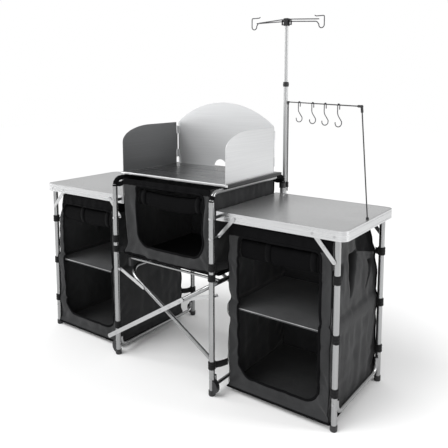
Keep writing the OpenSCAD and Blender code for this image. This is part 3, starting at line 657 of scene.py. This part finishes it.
    def slack(self, p):
        """Inward sag of a point before the simulation, with soft upright folds."""
        w = (p.z - self.z[0]) / (self.z[1] - self.z[0])
        free = (1 - self.hold(p)) * math.sin(math.pi * min(1, max(0, w))) ** 0.5
        fold = noise.noise(Vector((p.x * 14, p.y * 14, p.z * 3.5 + self.side)))
        sag, swing = 0.0042, 0.0060
        return (sag + swing * fold) * free

    def crumple(self, p):
        """Depth of the small creases all over, and of the folds that spread from the straps."""
        crease, fold, rays = 0.0062, 0.0050, 8  # two depths, and the number of folds in a turn
        deepest, width = 0.055, 0.045  # distance from a strap where the folds are, and their reach
        depth = crease * max(0.0, 0.25 + noise.noise(Vector((p.x * 26, p.y * 26, p.z * 19))))
        away = max(self.corner_distances(p))
        for height in self.pinned + (self.z[0],):
            reach = math.hypot(away, p.z - height)
            turn = math.atan2(p.z - height, away)
            spread = math.exp(-((reach - deepest) / width) ** 2)
            depth += fold * max(0.0, math.sin(rays * turn + 40 * height)) * spread
        return depth * (1 - self.hold(p))

    def simulate(self, obj):
        """Lets the cloth hang, and returns where its vertices went."""
        group = obj.vertex_groups.new(name="held")
        for i, p in enumerate(self.rest):
            group.add([i], self.hold(p), "REPLACE")
        cloth = obj.modifiers.new("cloth", "CLOTH")
        settings = cloth.settings
        settings.quality = 5
        settings.mass = 0.25
        settings.vertex_group_mass = "held"
        settings.tension_stiffness = 20
        settings.compression_stiffness = 12
        settings.shear_stiffness = 6
        settings.bending_stiffness = 0.8
        settings.shrink_min = -0.006
        settings.air_damping = 4
        cloth.collision_settings.use_collision = False
        cloth.point_cache.frame_start = 1
        cloth.point_cache.frame_end = self.FRAMES
        for frame_number in range(1, self.FRAMES + 1):
            scene.frame_set(frame_number)
        bpy.context.view_layer.update()
        shown = obj.evaluated_get(bpy.context.evaluated_depsgraph_get()).to_mesh()
        moved = [v.co.copy() for v in shown.vertices]
        obj.modifiers.remove(cloth)
        scene.frame_set(1)
        return moved

    def settle(self, obj, moved, inward=0.012, outward=0.0012, along=0.006):
        """Puts the vertices where the cloth went, within the room that the cupboard has."""
        for i, p in enumerate(moved):
            move = p - self.rest[i]
            normal = self.out[i]
            deep = move.dot(normal)
            slide = move - normal * deep
            if slide.length > along:
                slide *= along / slide.length
            deep = min(outward, max(-inward, deep))
            deep -= self.crumple(self.rest[i])
            obj.data.vertices[i].co = self.rest[i] + slide + normal * deep

    def points(self, obj, numbers):
        return [obj.data.vertices[i].co.copy() for i in numbers]

    def dye_net_and_shadow_band(self, mesh):
        """Gives the top band and the netting window their own materials; the black top band is black hem mesh and
        also painted shadow under the top above it.
        """
        mesh.materials.append(BINDING)
        mesh.materials.append(NETTING)
        for face in mesh.polygons:
            middle = sum((self.rest[v] for v in face.vertices), Vector()) / len(face.vertices)
            if self.net and middle.y > self.net[0][0] and self.above_net_hem(middle) > 0:
                face.material_index = 2 if self.on_far_wall(middle) else 0
            # Black band above the hem: real black hem mesh, and also painted shadow.
            elif middle.z > self.hem and not self.on_far_wall(middle):
                face.material_index = 1

    def trace(self, obj):
        """Keeps the settled lines that the trims follow."""
        self.lines = {"door": self.points(obj, self.outline)}
        for key, (u, v) in self.CORNERS.items():
            upright = self.edge_line(lambda t: self.corner(u, v, t), self.nz)
            self.lines[key] = self.points(obj, upright)
        corners = list(self.CORNERS.values())
        loop = []
        for a, b, count in zip(corners, corners[1:] + corners[:1], (self.nx, self.ny) * 2):
            side = self.edge_line(
                lambda t: self.corner(lerp(a[0], b[0], t), lerp(a[1], b[1], t), 0.0), count)
            loop += side[:-1]
        self.lines["floor"] = self.points(obj, loop)
        if self.net:
            row = [i for i, q in enumerate(self.rest) if q.y > self.net[0][0] - 0.012
                   and self.on_far_wall(q) and abs(self.above_net_hem(q)) < 0.0006]
            self.lines["net"] = self.points(obj, sorted(row, key=lambda i: self.rest[i].y))

    def make(self):
        mesh = self.build()
        self.cut = sum(face.area for face in mesh.polygons)
        for i, vertex in enumerate(mesh.vertices):
            vertex.co = self.rest[i] - self.out[i] * self.slack(self.rest[i])
        obj = new_object(self.name, mesh, "cupboard_fabric")
        self.dye_net_and_shadow_band(mesh)
        moved = self.simulate(obj)
        self.settle(obj, moved)
        self.trace(obj)
        smooth = obj.modifiers.new("smooth", "SUBSURF")
        smooth.levels = smooth.render_levels = 1
        apply_modifiers(obj)
        self.fold_far_wall(obj)
        thick = obj.modifiers.new("thickness", "SOLIDIFY")
        thick.thickness = CLOTH
        thick.offset = -1
        apply_modifiers(obj)
        return obj

    def fold_far_wall(self, obj):
        """Presses the deep V-shaped folds into the outer wall, and marks how deep they are for the painted shade.
        """
        seam, ease, full_shade_depth = 0.004, 0.014, 0.02  # kept flat, eased in, depth where the painted shade is full
        # The fold attribute drives the shade painted into the cloth's colour.
        fold_shade_mark = obj.data.attributes.new("fold", "FLOAT", "POINT")
        for i, vertex in enumerate(obj.data.vertices):
            p = vertex.co
            edge = min(p.y - self.y[0], self.y[1] - p.y)
            wall = self.side * p.x > self.far_x(p.z, self.depth_across(p)) - 0.03
            if wall and edge > seam and p.z > self.z[0] + 0.05:
                depth = self.pleat(p) * min(1.0, edge / ease)
                p.x -= self.side * depth
                fold_shade_mark.data[i].value = min(1.0, depth / full_shade_depth)

    def trims(self):
        """Binding round the door and along the floor, and the corner seams."""
        tubes(self.name + "_door_binding", [self.lines["door"]], 0.0058, "strap_webbing",
              material=BINDING, closed=True, thin=0.0026, facing=(0, 1, 0))
        tubes(self.name + "_floor_binding", [self.lines["floor"]], 0.0042, "strap_webbing",
              material=BINDING, closed=True)
        for corner, radius in (("near_front", 0.0014), ("far_front", 0.0014),
                               ("far_back", 0.004), ("near_back", 0.003)):
            tubes(self.name + "_" + corner + "_seam", [self.lines[corner]], radius, "strap_webbing",
                  material=BINDING, sides=8)
        if self.net:
            tubes(self.name + "_net_hem", [self.lines["net"]], 0.005, "cupboard_fabric",
                  sides=8, thin=0.0018, facing=(1, 0, 0))


def roll_section(turn, radius_y, radius_z, turns):
    """A point of the flattened spiral section, from its core out."""
    grow = 0.45 + 0.55 * turn / turns
    a = 2 * math.pi * turn
    return radius_y * grow * math.cos(a), radius_z * grow * math.sin(a)


def door_roll(name, node, x0, x1, y, z, radius, ties, drop):
    """A door flap rolled up into a flattened roll, pinched and held by two ties.

    y and z are the roll's middle, ties are at shares of its width, drop is its sag between them."""
    turns, per_turn, columns = 3.25, 36, 56
    radius_y, radius_z = radius
    pinched = 0.80  # share of its radius that the roll keeps under a tie
    bm = bmesh.new()
    grid = []
    for i in range(columns + 1):
        t = i / columns
        x = lerp(x0, x1, t)
        pinch = min(1.0, min(abs(t - tie) for tie in ties) / 0.10)
        squeeze = pinched + 0.20 * math.sin(pinch * math.pi / 2)
        lumps = 1 + 0.05 * noise.noise(Vector((x * 22, 3, 0)))
        hang = -drop * (1 - (2 * abs(t - 0.5)) ** 2) * pinch
        column = []
        for k in range(int(turns * per_turn) + 1):
            py, pz = roll_section(k / per_turn, radius_y, radius_z, turns)
            ripple = 1 + 0.04 * noise.noise(Vector((x * 30, py * 60, pz * 60)))
            column.append(bm.verts.new(
                (x, y + py * squeeze * ripple, z + hang + pz * squeeze * lumps * ripple)))
        grid.append(column)
    for a, b in zip(grid, grid[1:]):
        for k in range(len(a) - 1):
            bm.faces.new((a[k], b[k], b[k + 1], a[k + 1]))
    obj = new_object(name, mesh_from(bm, name), "door_fabric")
    thick = obj.modifiers.new("thickness", "SOLIDIFY")
    thick.thickness = 0.0012
    thick.offset = 0
    apply_modifiers(obj)
    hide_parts(node)
    bm = bmesh.new()
    gap = 0.0022
    for tie in ties:
        x = lerp(x0, x1, tie)
        loop = []
        for k in range(40):
            a = 2 * math.pi * k / 40
            loop.append(Vector((x, y + (radius_y * pinched + gap) * math.cos(a),
                                z + (radius_z * pinched + gap) * math.sin(a))))
        band(bm, loop, across=Vector((1, 0, 0)), width=0.025, thick=0.0014)
    new_object(name + "_ties", mesh_from(bm, name + "_ties"), "strap_webbing", material=BINDING)


def band(bm, loop, across, width, thick, closed=True):
    """A flat strap along a loop of points, as wide as given along across."""
    rows = []
    count = len(loop)
    for i, p in enumerate(loop):
        before = loop[(i - 1) % count] if closed or i else p
        after = loop[(i + 1) % count] if closed or i < count - 1 else p
        out = (after - before).normalized().cross(across).normalized()
        half = across * width / 2
        rows.append([bm.verts.new(p - half), bm.verts.new(p + half),
                     bm.verts.new(p + half + out * thick), bm.verts.new(p - half + out * thick)])
    pairs = list(zip(rows, rows[1:]))
    if closed:
        pairs.append((rows[-1], rows[0]))
    for a, b in pairs:
        for k in range(4):
            bm.faces.new((a[k], a[(k + 1) % 4], b[(k + 1) % 4], b[k]))
    if not closed:
        bm.faces.new(rows[0][::-1])
        bm.faces.new(rows[-1])


def side_pull(start, top, amount):
    """Says how far the outer wall is drawn in at a height, easing in from start to top."""
    def pull(z):
        t = min(1.0, max(0.0, (z - start) / (top - start)))
        return amount * t ** 1.35
    return pull


def add_cupboards():
    x, y, z = spans("right_cupboard")
    door = (0.388, 0.769, 0.088, 0.704, 0.060, 0.024)
    hem = 0.703
    boards = (0.377,)
    drawn = side_pull(0.50, z[1], 0.066)
    right = Cupboard("right_cupboard_cloth", x, y, z, door, hem, 1,
                     lambda height, back: drawn(height) * back, OUTER_STRAPS, boards,
                     pleats=[(0.010, -0.032, 0.625, 0.468, 0.054, 0.050),
                             (-0.165, -0.200, 0.612, 0.420, 0.074, 0.040),
                             (0.196, 0.121, 0.552, 0.460, 0.022, 0.036)],
                     net=((0.066, 0.634), (0.245, 0.590)))
    left = Cupboard("left_cupboard_cloth", x, y, z, door, hem, -1,
                    lambda height, back: drawn(height) * (1 - 0.6 * back), OUTER_STRAPS, boards,
                    pleats=[(0.050, 0.030, 0.680, 0.480, 0.050, 0.036),
                            (-0.110, -0.090, 0.660, 0.540, 0.026, 0.024)])
    centre = Cupboard("centre_cupboard_cloth", *spans("centre_cupboard"),
                      (-0.178, 0.226, 0.577, 0.866, 0.070, 0.020), 0.862,
                      pinned=(0.53,), lift=0.022)
    for cupboard, node, rests_on in (
            (right, "right_cupboard", ["leg_straps"]),
            (left, "left_cupboard", ["leg_straps"]),
            (centre, "centre_cupboard", ["leg_straps", "centre_floor_board"])):
        cloth = cupboard.make()
        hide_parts(node)
        cupboard.trims()
    behind = 0.026  # from a cupboard's front to the middle of its roll
    for side, name, ties in ((1, "right", (0.36, 0.93)), (-1, "left", (0.40, 0.92))):
        ends = sorted((side * 0.398, side * 0.759))
        door_roll(name + "_door_roll_cloth", name + "_door_roll", *ends,
                  right.y[0] + behind, 0.652, radius=(0.019, 0.046), ties=ties, drop=0.004)
    door_roll("centre_door_roll_cloth", "centre_door_roll", -0.168, 0.218,
              centre.y[0] + behind, 0.808, radius=(0.018, 0.039), ties=(0.08, 0.92), drop=0.012)


# ---------- boards, straps and wires ----------


def add_board(name, node, material, lip=True, inset=0.0):
    """A stiff board in a sewn fabric sleeve: rounded edges, a slight dip and a bound lip."""
    low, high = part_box(node)
    low.y += inset
    nx, ny = 40, 36
    thick = high.z - low.z
    bm = bmesh.new()

    def height(u, v, top):
        dip = 0.0012 * math.sin(math.pi * u) * math.sin(math.pi * v)
        puff = 0.0006 * noise.noise(Vector((u * 6, v * 6, low.z)))
        return (high.z - 0.0004 - dip + puff) if top else (low.z + 0.0003)

    layers = []
    for top in (True, False):
        grid = []
        for i in range(nx + 1):
            row = []
            for j in range(ny + 1):
                u, v = i / nx, j / ny
                x, y = lerp(low.x, high.x, u), lerp(low.y, high.y, v)
                row.append(bm.verts.new((x, y, height(u, v, top))))
            grid.append(row)
        layers.append(grid)
        for i in range(nx):
            for j in range(ny):
                bm.faces.new((grid[i][j], grid[i + 1][j], grid[i + 1][j + 1], grid[i][j + 1]))
    top_grid, low_grid = layers

    def border(grid):
        return ([grid[i][0] for i in range(nx)] + [grid[nx][j] for j in range(ny)]
                + [grid[nx - i][ny] for i in range(nx)] + [grid[0][ny - j] for j in range(ny)])

    top_edge, low_edge = border(top_grid), border(low_grid)
    count = len(top_edge)
    for i in range(count):
        j = (i + 1) % count
        bm.faces.new((top_edge[i], low_edge[i], low_edge[j], top_edge[j]))
    obj = new_object(name, mesh_from(bm, name), "shelf_board", material=material)
    soften = obj.modifiers.new("soften", "BEVEL")
    soften.width = thick * 0.3
    soften.segments = 3
    soften.limit_method = "ANGLE"
    soften.angle_limit = math.radians(50)
    apply_modifiers(obj)
    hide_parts(node)
    if lip:
        z = (low.z + high.z) / 2
        x0, x1 = low.x + 0.006, high.x - 0.006
        path = [(lerp(x0, x1, i / 20), low.y + 0.0042, z) for i in range(21)]
        tubes(name + "_lip", [path], 0.0036, "shelf_board", material=LIP)


def sleeve(bm, x, y, z, height, corner):
    """A ribbed webbing sleeve round a leg, with a short web to a cupboard's corner."""
    up = Vector((0, 0, 1))
    for k in (-1, 0, 1):
        ridge = circle(x, y, z + k * height / 3, LEG_RADIUS + 0.0022)
        outward = [p - Vector((x, y, p.z)) for p in ridge]
        tube_rings(bm, ridge, height * 0.185, 8, closed=True, thin=0.0022, facing=outward)
    band(bm, circle(x, y, z, LEG_RADIUS + 0.0006), up, height, thick=0.0016)
    away = Vector((corner[0] - x, corner[1] - y, 0))
    start = Vector((x, y, z)) + away.normalized() * (LEG_RADIUS + 0.001)
    end = Vector((corner[0], corner[1], z))
    web = []
    for i in range(7):
        sag = Vector((0, 0, -0.003 * math.sin(math.pi * i / 6)))
        web.append(start.lerp(end, i / 6) + sag)
    band(bm, web, up, height * 0.86, thick=0.0018, closed=False)


def add_straps():
    bm = bmesh.new()
    tall, short = 0.034, 0.030
    for side in (-1, 1):
        for back in (-1, 1):
            for z in OUTER_STRAPS:
                wall = 0.8175 - (0.011 if z > 0.5 and back > 0 else 0.0)
                sleeve(bm, side * 0.834, back * 0.2305, z, tall, (side * wall, back * 0.229))
    for (x, *depths), heights in zip(reversed(CENTRE_LEGS), reversed(CENTRE_STRAPS)):
        side = math.copysign(1, x)
        for y in depths:
            for z in heights[:2]:
                sleeve(bm, x, y, z, tall, (side * 0.336, math.copysign(1, y) * 0.240))
            centre_y = -0.270 if y < 0 else 0.248
            sleeve(bm, x, y, heights[2], short, (side * 0.267, centre_y))
    obj = new_object("webbing_straps", mesh_from(bm, "webbing_straps"), "strap_webbing")
    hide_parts("leg_straps")


def add_cooktop_trim():
    """The rolled edge along the front of the cooktop, made bright with the right wing's lit finish, a painted
    highlight.
    """
    low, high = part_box("cooktop_planks")
    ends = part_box("cooktop_edge_strips")
    y, z = low.y - 0.0016, (low.z + high.z) / 2 + 0.0004
    path = [Vector((lerp(ends[0].x + 0.001, ends[1].x - 0.001, i / 24), y, z)) for i in range(25)]
    tubes("cooktop_front_trim", [path], 0.0056, "rim_aluminium", sides=20, thin=0.0016,
          material=FINISH["screen_right_aluminium"], facing=(0, 1, 0))


def add_corner_ties():
    """Short tapes from the raised cupboard's top corners to the bends of the hoops."""
    low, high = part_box("centre_cupboard")
    bm = bmesh.new()
    for x, y_front, y_back in CENTRE_LEGS:
        side = math.copysign(1, x)
        corner_x = high.x if side > 0 else low.x
        for y_leg, y_corner in ((y_front, low.y + 0.002), (y_back, high.y - 0.002)):
            start = Vector((corner_x - side * 0.004, y_corner, 0.868))
            end = Vector((x - side * 0.009, lerp(y_leg, y_corner, 0.2), 0.862))
            path = [start.lerp(end, i / 8) - Vector((0, 0, 0.004 * math.sin(math.pi * i / 8)))
                    for i in range(9)]
            band(bm, path, Vector((0, 0, 1)), 0.024, 0.0018, False)
    new_object("corner_ties", mesh_from(bm, "corner_ties"), "strap_webbing", material=BINDING)


def add_hoop_wraps():
    """Black cloth wraps that tie the raised cupboard's top to the bends of the two hoops."""
    bend, tube, top = 0.038, 0.0095, 0.8865  # the hoops' bend, their radius and their height
    runs = ((0.052, 0.030), (0.006, 0.030))  # length on the level part: front and back, left first
    wraps = []
    for (x, y_front, y_back), (front_run, back_run) in zip(CENTRE_LEGS, runs):
        for y, inward, run in ((y_front, 1, front_run), (y_back, -1, back_run)):
            low = 0.840 if run > 0.04 else 0.853
            path = [Vector((x, y, lerp(low, top - bend, i / 3))) for i in range(3)]
            for i in range(13):
                a = math.pi / 2 * i / 12
                across, rise = inward * bend * (1 - math.cos(a)), bend * math.sin(a)
                path.append(Vector((x, y + across, top - bend + rise)))
            path += [Vector((x, y + inward * (bend + run * i / 4), top)) for i in range(1, 5)]
            if run < 0.02:
                path = path[2:9]
            wraps.append(path)
    bm = bmesh.new()
    for path in wraps:
        tube_rings(bm, path, tube + 0.0016, 24)
        for i in range(1, len(path) - 1, 3):
            ahead = (path[i + 1] - path[i]).normalized() * 0.002
            tube_rings(bm, [path[i] - ahead, path[i] + ahead], tube + 0.0024, 24)
    new_object("hoop_wraps", mesh_from(bm, "hoop_wraps"), "strap_webbing", material=BINDING)


def hook_path():
    """One S-hook in its own plane: the tail, the small loop, the shank and the wide bowl."""
    loop, bowl, bowl_y = 0.0049, 0.0155, -0.076
    path = [Vector((loop, -0.019, 0))] + arc((0, 0), loop, 0, 180, 14)
    path += fillet([(-loop, -0.004, 0), (-loop, -0.040, 0), (bowl, bowl_y + 0.006, 0),
                    (bowl, bowl_y, 0)], 0.011)
    path += arc((0, bowl_y), bowl, 360, 180, 22)[1:]
    path.append(Vector((-bowl, bowl_y + 0.0045, 0)))
    return path


def add_hooks():
    """Each S-hook at its own joint, in the plane across the rack's bar."""
    low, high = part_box("rack_bar")
    along = Vector((high.x - low.x, low.y - high.y, 0)).normalized()
    turn = Matrix((
        (-along.y, 0, along.x, 0), (along.x, 0, along.y, 0), (0, 1, 0, 0), (0, 0, 0, 1)))
    for joint in frame["joints"]:
        if joint["name"].startswith("hook_"):
            number = joint["name"].split("_")[1]
            place = Matrix.Translation(Vector(joint["pos_m"]))
            path = [place @ turn @ p for p in hook_path()]
            hook = tubes("hook_" + number + "_wire", [path], 0.0022, "hook_steel", joint["child"],
                         sides=14)
            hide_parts("hook_" + number)


def add_hanger():
    """The lantern hanger's two wires, each ending in an open bag hook."""
    low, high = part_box("lantern_hub")
    middle = (low + high) / 2
    wires = []
    for side, height, tail_droop in ((1, 0.022, 0.0), (-1, 0.032, 3.5)):
        droop, tail, reach = math.radians(3.5), math.radians(tail_droop), 0.198
        start = [(-0.176 * math.cos(tail), -0.176 * math.sin(tail), 0), (0, 0, 0),
                 (0.160 * math.cos(droop), -0.160 * math.sin(droop), 0),
                 (0.170, -0.024, 0), (0.170, -0.027, 0)]
        path = fillet(start, 0.008)[:-1] + arc((0.184, -0.027), 0.014, 180, 360, 16)
        path += fillet([(reach, -0.020, 0), (reach, 0.015, 0), (reach - 0.043, 0.015, 0),
                        (reach - 0.049, 0.019, 0)], 0.006)
        wires.append([Vector((middle.x + side * p.x, middle.y + side * 0.005, low.z + height + p.y))
                      for p in path])
    hanger = tubes("hanger_wires", wires, 0.0025, "hanger_steel", "lantern_head", sides=14)
    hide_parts("lantern_hanger")


# ---------- build ----------

BEVELS = {  # width of the softened edges of CAD nodes
    "left_tabletop_rim": 0.0008, "right_tabletop_rim": 0.0008, "tabletop_crossrails": 0.001,
    "cooktop_planks": 0.0006, "cooktop_edge_strips": 0.0015, "lantern_hub": 0.001,
    "pole_lock_collar": 0.0008, "foot_side_brackets": 0.0015, "cross_flat_bars": 0.0005,
    "cross_links": 0.0005, "outer_leg_braces": 0.0005, "inner_table_braces": 0.0005,
    "pole_clips": 0.0008,
}

add_camera()
add_studio()
for node in nodes:
    finish_cad(node, BEVELS.get(node, 0.0))
add_cupboards()
for side in ("left", "right"):
    add_board(side + "_shelf_board", side + "_shelf", FINISH["shelf_board"])
    add_board(side + "_floor_pad", side + "_floor_board", FLOOR_CLOTH, lip=False)
add_board("centre_floor_pad", "centre_floor_board", BINDING, lip=False, inset=0.02)
add_straps()
add_hoop_wraps()
add_corner_ties()
add_cooktop_trim()
add_hooks()
add_hanger()
